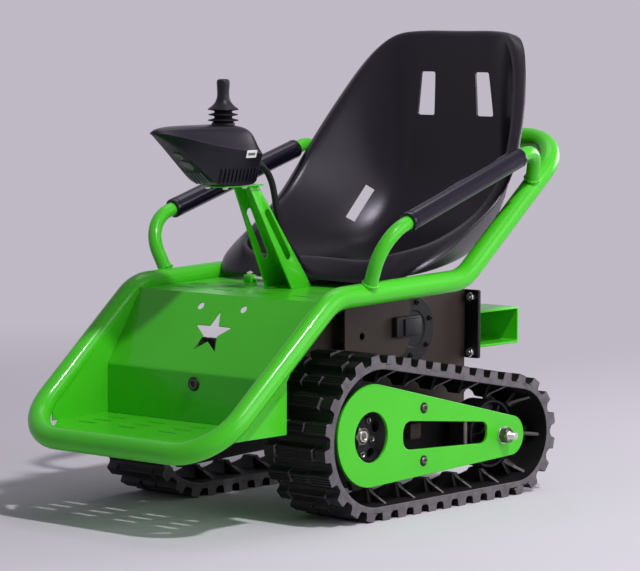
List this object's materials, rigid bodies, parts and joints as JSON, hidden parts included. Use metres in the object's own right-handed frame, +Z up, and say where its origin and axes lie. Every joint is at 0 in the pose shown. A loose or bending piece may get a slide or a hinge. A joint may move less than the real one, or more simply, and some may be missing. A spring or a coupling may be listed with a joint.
{
  "type": "electric tracked snow bike",
  "caption": "One-seat electric snow crawler with a lime tube frame, black bucket seat, joystick stand and rubber track units with lime side plates.",
  "frame": {"origin": "on the ground plane, midway between the two track units and midway along the tube frame", "axes": "row frame: +X is the rider's left, -Y is the way the rider looks, +Z is up"},
  "size_m": [0.5124, 0.8643, 0.7251],
  "materials": {
    "lime_powder_coat": "gloss",
    "brown_grey_coat": "satin",
    "black_coat": "satin",
    "zinc_steel": "satin",
    "cast_drive": "satin",
    "seat_plastic": "satin",
    "pod_plastic": "satin",
    "grip_rubber": "gloss",
    "boot_rubber": "matte",
    "track_rubber": "matte"
  },
  "bodies": {
    "frame_and_tracks": {"armrest_grip_left": "grip_rubber", "armrest_grip_right": "grip_rubber", "armrest_tube_left": "lime_powder_coat", "armrest_tube_right": "lime_powder_coat", "axle_nuts": "zinc_steel", "battery_box": "black_coat", "cable_grommet": "boot_rubber", "chassis_plate_left": "brown_grey_coat", "chassis_plate_right": "brown_grey_coat", "control_cable": "boot_rubber", "deck_fitting": "zinc_steel", "deck_plate": "lime_powder_coat", "foot_plate": "lime_powder_coat", "front_axle": "zinc_steel", "front_hoop": "lime_powder_coat", "front_panel": "lime_powder_coat", "gear_cover_left": "brown_grey_coat", "gear_cover_right": "brown_grey_coat", "hitch_box": "lime_powder_coat", "inner_plate_left": "black_coat", "inner_plate_right": "black_coat", "joystick_boot": "boot_rubber", "joystick_knob": "pod_plastic", "joystick_pod": "pod_plastic", "joystick_stand": "lime_powder_coat", "joystick_tray": "lime_powder_coat", "motors": "black_coat", "outer_plate_left": "lime_powder_coat", "outer_plate_right": "lime_powder_coat", "rear_axle": "zinc_steel", "rear_hoop": "lime_powder_coat", "rear_plate": "black_coat", "riser_plug": "boot_rubber", "seat_shell": "seat_plastic", "seat_stays": "lime_powder_coat", "side_panel_left": "lime_powder_coat", "side_panel_right": "lime_powder_coat", "side_rail_left": "lime_powder_coat", "side_rail_right": "lime_powder_coat", "track_left": "track_rubber", "track_right": "track_rubber"},
    "drive_wheel_left": {"drive_wheel_left": "cast_drive"},
    "drive_wheel_right": {"drive_wheel_right": "cast_drive"},
    "idler_wheel_left": {"idler_wheel_left": "cast_drive"},
    "idler_wheel_right": {"idler_wheel_right": "cast_drive"}
  },
  "joints": [
    {"name": "drive_wheel_left_spin", "type": "hinge", "parent": "frame_and_tracks", "child": "drive_wheel_left", "pos_m": [0.1771, -0.092, 0.124], "axis": [1, 0, 0], "continuous": true},
    {"name": "drive_wheel_right_spin", "type": "hinge", "parent": "frame_and_tracks", "child": "drive_wheel_right", "pos_m": [-0.1771, -0.092, 0.124], "axis": [1, 0, 0], "continuous": true},
    {"name": "idler_wheel_left_spin", "type": "hinge", "parent": "frame_and_tracks", "child": "idler_wheel_left", "pos_m": [0.1771, 0.227, 0.095], "axis": [1, 0, 0], "continuous": true},
    {"name": "idler_wheel_right_spin", "type": "hinge", "parent": "frame_and_tracks", "child": "idler_wheel_right", "pos_m": [-0.1771, 0.227, 0.095], "axis": [1, 0, 0], "continuous": true}
  ]
}
